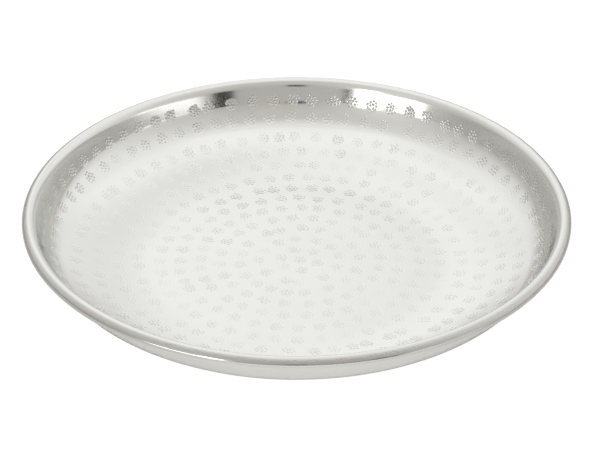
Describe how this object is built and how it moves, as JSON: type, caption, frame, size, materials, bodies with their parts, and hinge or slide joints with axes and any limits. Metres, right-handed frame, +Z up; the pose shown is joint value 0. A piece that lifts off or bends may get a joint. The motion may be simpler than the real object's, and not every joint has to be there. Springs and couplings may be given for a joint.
{
  "type": "decorative tray",
  "caption": "Round polished metal tray with a flat middle, a dished hammered border, a short steep wall and a rolled edge closed round a stiffening wire.",
  "frame": {"origin": "centre of the flat underside that the tray stands on", "axes": "+Z up along the axis of revolution; +X and +Y are free, and the wire's butt joint lies at +X"},
  "size_m": [0.38, 0.38, 0.0486],
  "materials": {
    "plated_steel": "polished, hammered inside",
    "bare_wire": "drawn wire, bare"
  },
  "bodies": {
    "root": {"tray_pan": "plated_steel", "rim_wire": "bare_wire"}
  },
  "joints": []
}
